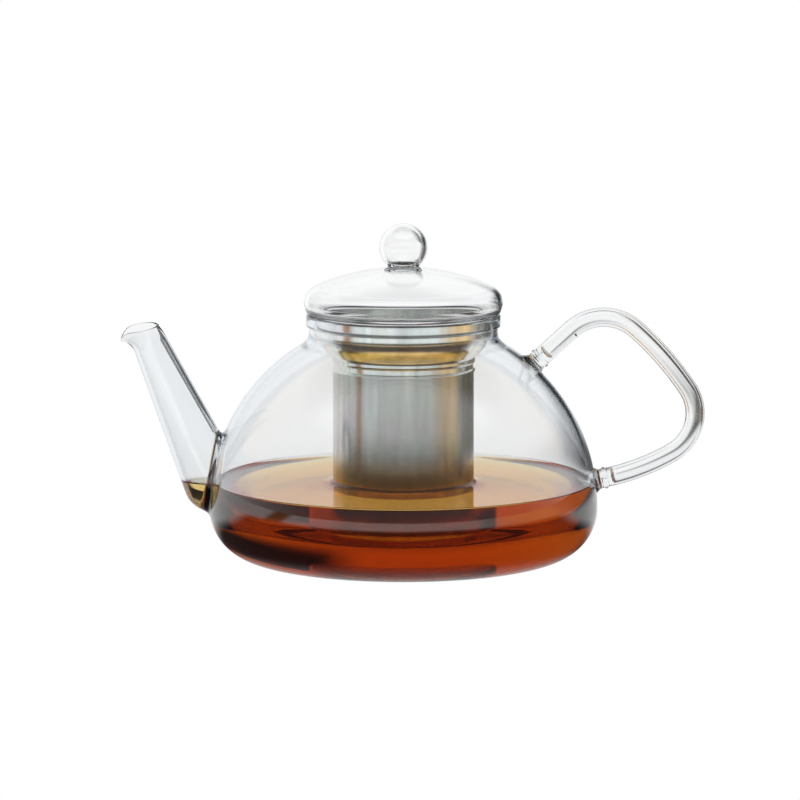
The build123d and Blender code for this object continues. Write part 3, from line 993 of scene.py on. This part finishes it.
class TEAPOT_OT_lid(bpy.types.Operator):
    """Blow the glass lid with its plug and ball knob"""

    bl_idname = "teapot.lid"
    bl_label = "Lid"

    def execute(self, context):
        s = context.scene.teapot_lid
        wide_z = LID_Z + s.edge_height
        rise = APEX_Z - wide_z
        bend = s.edge_bend
        crown_r = ((LID_R - bend) ** 2 + rise**2 - bend**2) / (2 * (rise - bend))
        crown_z = APEX_Z - crown_r
        turn = math.degrees(math.atan2(wide_z - crown_z, LID_R - bend))
        knob_z = KNOB_TOP - KNOB_R
        foot_r = s.foot + 0.6 * MM
        # outside, from the top of the ball down
        ball_end = math.degrees(math.atan2(-math.sqrt(KNOB_R**2 - s.stem**2), s.stem))
        ball = arc((0, knob_z), KNOB_R, 90, ball_end, 46)
        ball[0] = (0.0, KNOB_TOP)
        foot_z = crown_z + math.sqrt(crown_r**2 - foot_r**2)
        waist = (s.stem - 0.2 * MM, foot_z + 0.3 * MM)
        stem = curved(ball[-1], waist, (foot_r, foot_z), np.linspace(0, 1, 9)[1:])
        start = math.degrees(math.acos(foot_r / crown_r))
        crown = arc((0, crown_z), crown_r, start, turn, 34)[1:]
        side = arc((LID_R - bend, wide_z), bend, turn, 0, 18)[1:]
        # round the lower ring and the plug, then back up inside
        ring_top = LID_Z + s.wall
        edge = rounded(
            [(LID_R, wide_z), (s.edge + 0.2 * MM, LID_Z), (PLUG_R, LID_Z), (PLUG_R, PLUG_Z),
             (PLUG_R - s.wall, PLUG_Z), (PLUG_R - s.wall, ring_top),
             (LID_R - s.wall, ring_top), (LID_R - s.wall, wide_z)],
            [0, 1.5 * MM, 1.0 * MM, 0.95 * MM, 0.95 * MM, 1.3 * MM, 1.2 * MM, 0], 6,
        )
        inner_side = arc((LID_R - bend, wide_z), bend - s.wall, 0, turn, 18)[1:]
        inner_crown = arc((0, crown_z), crown_r - s.wall, turn, 90, 40)[1:]
        inner_crown[-1] = (0.0, APEX_Z - s.wall)
        profile = ball + stem + crown + side + edge[1:] + inner_side + inner_crown
        obj = mesh_object("lid_glass", *lathe(profile, 256))
        outward(obj)
        hollow = KNOB_R - s.bubble_wall
        turned = arc((0, knob_z), hollow, 90, -90, 48)
        turned[0], turned[-1] = (0.0, knob_z + hollow), (0.0, knob_z - hollow)
        bubble = mesh_object("bubble", *lathe(turned, 96))
        outward(bubble)
        bubble.data.flip_normals()
        bm = bmesh.new()
        bm.from_mesh(obj.data)
        bm.from_mesh(bubble.data)
        check_closed(bm, "lid_glass")
        bm.to_mesh(obj.data)
        bm.free()
        drop(bubble)
        dress(obj, glass_material("Lid Glass", 30.0, 0.00002, 0.5, 6.0))
        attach(obj, "lid")
        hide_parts("lid_dome", "lid_plug", "lid_knob")
        return {"FINISHED"}


# ---------------------------------------------------------------- infuser


def sheet_profile(outer, thickness):
    """A line of points and the same line moved sideways by a sheet's thickness."""
    pts = np.array(outer)
    tangent = np.gradient(pts, axis=0)
    tangent /= np.linalg.norm(tangent, axis=1)[:, None]
    normal = np.stack([tangent[:, 1], -tangent[:, 0]], 1)
    inner = pts + normal * thickness
    return [tuple(p) for p in pts], [tuple(p) for p in inner]


def steel_piece(name, profile, segments, material):
    """A closed piece of steel sheet, turned from its closed profile."""
    obj = mesh_object(name, *lathe(profile, segments))
    bm = bmesh.new()
    bm.from_mesh(obj.data)
    bmesh.ops.remove_doubles(bm, verts=bm.verts, dist=1e-7)
    bmesh.ops.recalc_face_normals(bm, faces=bm.faces)
    check_closed(bm, name)
    bm.to_mesh(obj.data)
    bm.free()
    soften(obj, 38)
    dress(obj, material)
    return obj


class TEAPOT_OT_infuser(bpy.types.Operator):
    """Press the steel collar, roll the perforated wall and close the base"""

    bl_idname = "teapot.infuser"
    bl_label = "Infuser"

    def execute(self, context):
        s = context.scene.teapot_infuser
        t = s.sheet
        collar = steel_piece(
            "infuser_collar_steel", self.collar_profile(s), 256, steel_material("Satin Steel", s, False)
        )
        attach(collar, "infuser")
        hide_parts("infuser_collar")

        fine_steel = steel_material("Perforated Steel", s, True)
        r0, r1 = BASKET_R - t, BASKET_R
        rows = [(r1, SLEEVE_Z)] + divided((r1, SLEEVE_Z), (r1, PAN_Z), 24)
        rows += [(r0, PAN_Z)] + divided((r0, PAN_Z), (r0, SLEEVE_Z), 24) + [(r1, SLEEVE_Z)]
        wall = steel_piece("infuser_basket_steel", rows, 256, fine_steel)
        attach(wall, "infuser")
        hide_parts("infuser_wall")

        corner = 2.1 * MM
        outside = rounded([(r1, PAN_Z), (r1, BASKET_Z), (0.0, BASKET_Z)], [0, corner, 0], 8)
        inner = rounded([(0.0, BASKET_Z + t), (r0, BASKET_Z + t), (r0, PAN_Z)], [0, corner - t, 0], 8)
        flat = [(outside[-2][0] * k, BASKET_Z) for k in (0.75, 0.5, 0.25)]
        flat_in = [(inner[1][0] * k, BASKET_Z + t) for k in (0.25, 0.5, 0.75)]
        pan = outside[:-1] + flat + [(0.0, BASKET_Z), (0.0, BASKET_Z + t)] + flat_in + inner[1:]
        base = steel_piece("infuser_base_steel", pan + [outside[0]], 192, fine_steel)
        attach(base, "infuser")
        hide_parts("infuser_base")
        return {"FINISHED"}

    def collar_profile(self, s):
        """The sheet from the flange down to the sleeve's lower edge and back, with a shallow groove."""
        collar_z = RIM_Z - s.collar_depth
        cone_z = collar_z - s.cone
        groove_mid = SLEEVE_Z + 2.1 * MM
        line = rounded(
            [
                (FLANGE_R, RIM_Z), (s.collar, RIM_Z), (s.collar, collar_z), (BASKET_R, cone_z),
                (BASKET_R, groove_mid + 1.9 * MM), (BASKET_R - s.groove, groove_mid + 1.3 * MM),
                (BASKET_R - s.groove, groove_mid - 1.2 * MM), (BASKET_R, groove_mid - 1.7 * MM),
                (BASKET_R, SLEEVE_Z),
            ],
            [0, 0.6 * MM, 10.5 * MM, 3.4 * MM, 0.6 * MM, 0.6 * MM, 0.6 * MM, 0.6 * MM, 0], 9,
        )
        dense = [line[0]]
        for a, b in zip(line, line[1:]):
            steps = max(1, int(math.hypot(b[0] - a[0], b[1] - a[1]) / (1.2 * MM)))
            dense += divided(a, b, steps)
        outside, inside = sheet_profile(dense, -s.sheet)
        inside = [(r, min(z, FLANGE_TOP)) for r, z in inside]
        return outside + inside[::-1] + [outside[0]]


# ---------------------------------------------------------------- tea


class TEAPOT_OT_tea(bpy.types.Operator):
    """Pour the tea up to its level, in the body and in the spout"""

    bl_idname = "teapot.tea"
    bl_label = "Tea"

    def execute(self, context):
        s, v = context.scene.teapot_tea, context.scene.teapot_vessel
        mesh = vessel_surface(Body(v), v.wall - s.overlap, v.spout_wall - s.overlap)
        bm = bmesh.new()
        bm.from_mesh(mesh)
        bpy.data.meshes.remove(mesh)
        bmesh.ops.recalc_face_normals(bm, faces=bm.faces)
        bmesh.ops.bisect_plane(
            bm, geom=bm.verts[:] + bm.edges[:] + bm.faces[:],
            plane_co=(0, 0, s.level + s.meniscus), plane_no=(0, 0, 1), clear_outer=True, dist=1e-7,
        )
        bmesh.ops.remove_doubles(bm, verts=bm.verts, dist=2e-6)
        self.close_surface(bm, s)
        bmesh.ops.recalc_face_normals(bm, faces=bm.faces)
        bmesh.ops.triangulate(bm, faces=[f for f in bm.faces if len(f.verts) > 4])
        check_closed(bm, "tea")
        made = bpy.data.meshes.new("tea")
        bm.to_mesh(made)
        bm.free()
        obj = link_mesh("tea", made)
        soften(obj, 50)
        dress(obj, tea_material(s))
        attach(obj, "pot")
        return {"FINISHED"}

    def close_surface(self, bm, s):
        """Closes the cut with rings of points, level but for the rise at the glass and at the basket."""
        rim = [e for e in bm.edges if len(e.link_faces) == 1]
        ring = sorted({w for e in rim for w in e.verts}, key=lambda w: math.atan2(w.co.y, w.co.x))
        if len(ring) != len(rim):
            raise RuntimeError("the tea's edge is not one closed loop")
        edge_r = [math.hypot(w.co.x, w.co.y) for w in ring]
        directions = [(w.co.x / r, w.co.y / r) for w, r in zip(ring, edge_r)]
        levels = [(True, g * MM) for g in TEA_RINGS_IN]
        levels += [(False, BASKET_R + g * MM) for g in TEA_RINGS_TO_BASKET]
        levels += [(False, BASKET_R - g * MM) for g in TEA_RINGS_IN_BASKET]
        for from_glass, value in levels:
            new = []
            for (x, y), r in zip(directions, edge_r):
                radius = r - value if from_glass else value
                if from_glass:
                    gap = value
                else:
                    gap = max(0.0, abs(radius - BASKET_R + BASKET_WALL_HALF) - BASKET_WALL_HALF)
                gap = min(gap, r - radius)
                z = s.level + s.meniscus * math.exp(-gap / MENISCUS_REACH)
                new.append(bm.verts.new((x * radius, y * radius, z)))
            for k in range(len(ring)):
                m = (k + 1) % len(ring)
                bm.faces.new((ring[k], ring[m], new[m], new[k]))
            ring = new
        pole = bm.verts.new((0, 0, s.level))
        for k in range(len(ring)):
            bm.faces.new((ring[k], ring[(k + 1) % len(ring)], pole))


# ---------------------------------------------------------------- studio


def surround(tree, split, stops):
    """Colour by compass direction, from the parts of a direction. Returns the output."""
    turn = math_node(tree, "ARCTAN2", split["X"], split["Y"])
    share = math_node(tree, "ADD", math_node(tree, "MULTIPLY", turn, 1 / (2 * math.pi)), 0.5)
    ramp = add_node(tree, "ShaderNodeValToRGB", {"Fac": share})
    elements = ramp.color_ramp.elements
    elements[0].position, elements[1].position = 0.0, 1.0
    elements[0].color, elements[1].color = rgba(stops[0][1]), rgba(stops[-1][1])
    for degrees, shade in stops[1:-1]:
        elements.new(degrees / 360 + 0.5).color = rgba(shade)
    return ramp.outputs["Color"]


def white_to_camera(tree, shade):
    """White where the camera looks straight at it, and the given colour in glass and steel."""
    seen = add_node(tree, "ShaderNodeLightPath").outputs["Is Camera Ray"]
    return mixed(tree, seen, shade, rgba(WHITE))


def floor_material():
    """A pale floor that glows with painted light: white to the camera, and shaded by direction for what shows
    through the glass, with a painted shadow close in front of the pot.
    """
    material = bpy.data.materials.new("Studio Floor")
    material.use_nodes = True
    tree = material.node_tree
    tree.nodes.remove(tree.nodes["Principled BSDF"])
    place = add_node(tree, "ShaderNodeNewGeometry").outputs["Position"]
    split = add_node(tree, "ShaderNodeSeparateXYZ", {0: place}).outputs
    away = add_node(tree, "ShaderNodeVectorMath", {0: place}, operation="LENGTH").outputs["Value"]
    floor = mixed(tree, eased(tree, away, FAR_START, FAR_END), rgba(NEAR_FLOOR), surround(tree, split, FAR_FLOOR))
    # painted shadow: the floor close in front of the pot is painted dark, but not under the pot
    near = eased(tree, away, SHADOW_OUTER, SHADOW_FULL)
    front = eased(tree, split["Y"], SHADOW_BACK, SHADOW_FRONT)
    beside = eased(tree, away, POT_INNER, POT_OUTER)
    painted_shadow = math_node(tree, "MULTIPLY", math_node(tree, "MULTIPLY", near, front), beside)
    shade = white_to_camera(tree, mixed(tree, painted_shadow, floor, rgba(DARK)))
    glow = add_node(tree, "ShaderNodeEmission", {"Color": shade})
    tree.links.new(glow.outputs["Emission"], tree.nodes["Material Output"].inputs["Surface"])
    return material


def studio_world():
    """A soft room, darker on the camera's side, with a low dark flag behind and a lit ceiling in front."""
    world = bpy.data.worlds.new("Studio")
    world.use_nodes = True
    tree = world.node_tree
    place = add_node(tree, "ShaderNodeTexCoord").outputs["Generated"]
    split = add_node(tree, "ShaderNodeSeparateXYZ", {0: place}).outputs
    lift = eased(tree, split["Z"], math.sin(FLAG_LOW), math.sin(FLAG_HIGH))
    flag = mixed(tree, lift, surround(tree, split, FLAG), rgba(WHITE))
    walls = mixed(tree, 1.0, surround(tree, split, ROOM), flag, "MULTIPLY")
    height = eased(tree, split["Z"], math.sin(CEILING_LOW), math.sin(CEILING_HIGH))
    back = eased(tree, split["Y"], -0.15, 0.15)
    ceiling = mixed(tree, back, rgba(CEILING_FRONT), rgba(CEILING_BACK))
    room = white_to_camera(tree, mixed(tree, height, walls, ceiling))
    tree.links.new(room, tree.nodes["Background"].inputs["Color"])
    return world


class TEAPOT_OT_stage(bpy.types.Operator):
    """Set up the floor, the light and the camera"""

    bl_idname = "teapot.stage"
    bl_label = "Studio"

    def execute(self, context):
        scene = context.scene
        s = scene.teapot_stage
        verts, faces, _, _ = lathe([(r, 0.0) for r in (0.0, 0.1, 0.2, 0.4, 0.8, 1.5, s.floor)], 64)
        floor = mesh_object("floor", [(x, y, -0.0002) for x, y, _ in verts], [f[::-1] for f in faces])
        dress(floor, floor_material())
        scene.world = studio_world()
        scene.view_settings.view_transform = "Standard"
        scene.view_settings.look = "None"
        scene.cycles.max_bounces = 32
        scene.cycles.transmission_bounces = 32
        scene.cycles.glossy_bounces = 10
        scene.cycles.transparent_max_bounces = 16
        scene.cycles.caustics_reflective = True
        scene.cycles.caustics_refractive = True
        camera = bpy.data.objects.new("camera", bpy.data.cameras.new("camera"))
        scene.collection.objects.link(camera)
        camera.data.sensor_width = 36
        camera.data.lens = s.lens
        camera.data.clip_start, camera.data.clip_end = 0.05, 20
        a, e = s.turn, s.elevation
        back = Vector((math.sin(a) * math.cos(e), -math.cos(a) * math.cos(e), math.sin(e)))
        camera.rotation_mode = "QUATERNION"
        camera.location = Vector(s.aim) + back * s.distance
        camera.rotation_quaternion = (-back).to_track_quat("-Z", "Y")
        scene.camera = camera
        return {"FINISHED"}


# ---------------------------------------------------------------- panel and registration


class TEAPOT_PT_panel(bpy.types.Panel):
    """Lists the teapot's pieces"""

    bl_idname = "TEAPOT_PT_panel"
    bl_label = "Teapot"
    bl_space_type = "VIEW_3D"
    bl_region_type = "UI"
    bl_category = "Teapot"

    def draw(self, context):
        for cls in OPERATORS:
            self.layout.operator(cls.bl_idname)


OPERATORS = (
    TEAPOT_OT_vessel, TEAPOT_OT_handle, TEAPOT_OT_lid, TEAPOT_OT_infuser, TEAPOT_OT_tea, TEAPOT_OT_stage,
)
SETTINGS = {
    "teapot_vessel": TeapotVesselSettings,
    "teapot_handle": TeapotHandleSettings,
    "teapot_lid": TeapotLidSettings,
    "teapot_infuser": TeapotInfuserSettings,
    "teapot_tea": TeapotTeaSettings,
    "teapot_stage": TeapotStageSettings,
}


def register():
    for cls in (*SETTINGS.values(), *OPERATORS, TEAPOT_PT_panel):
        bpy.utils.register_class(cls)
    for name, cls in SETTINGS.items():
        setattr(bpy.types.Scene, name, bpy.props.PointerProperty(type=cls))


def unregister():
    for name in SETTINGS:
        delattr(bpy.types.Scene, name)
    for cls in reversed((*SETTINGS.values(), *OPERATORS, TEAPOT_PT_panel)):
        bpy.utils.unregister_class(cls)


def main():
    register()
    bpy.ops.teapot.vessel()
    bpy.ops.teapot.handle()
    bpy.ops.teapot.lid()
    bpy.ops.teapot.infuser()
    bpy.ops.teapot.tea()
    bpy.ops.teapot.stage()


if __name__ == "__main__":
    main()
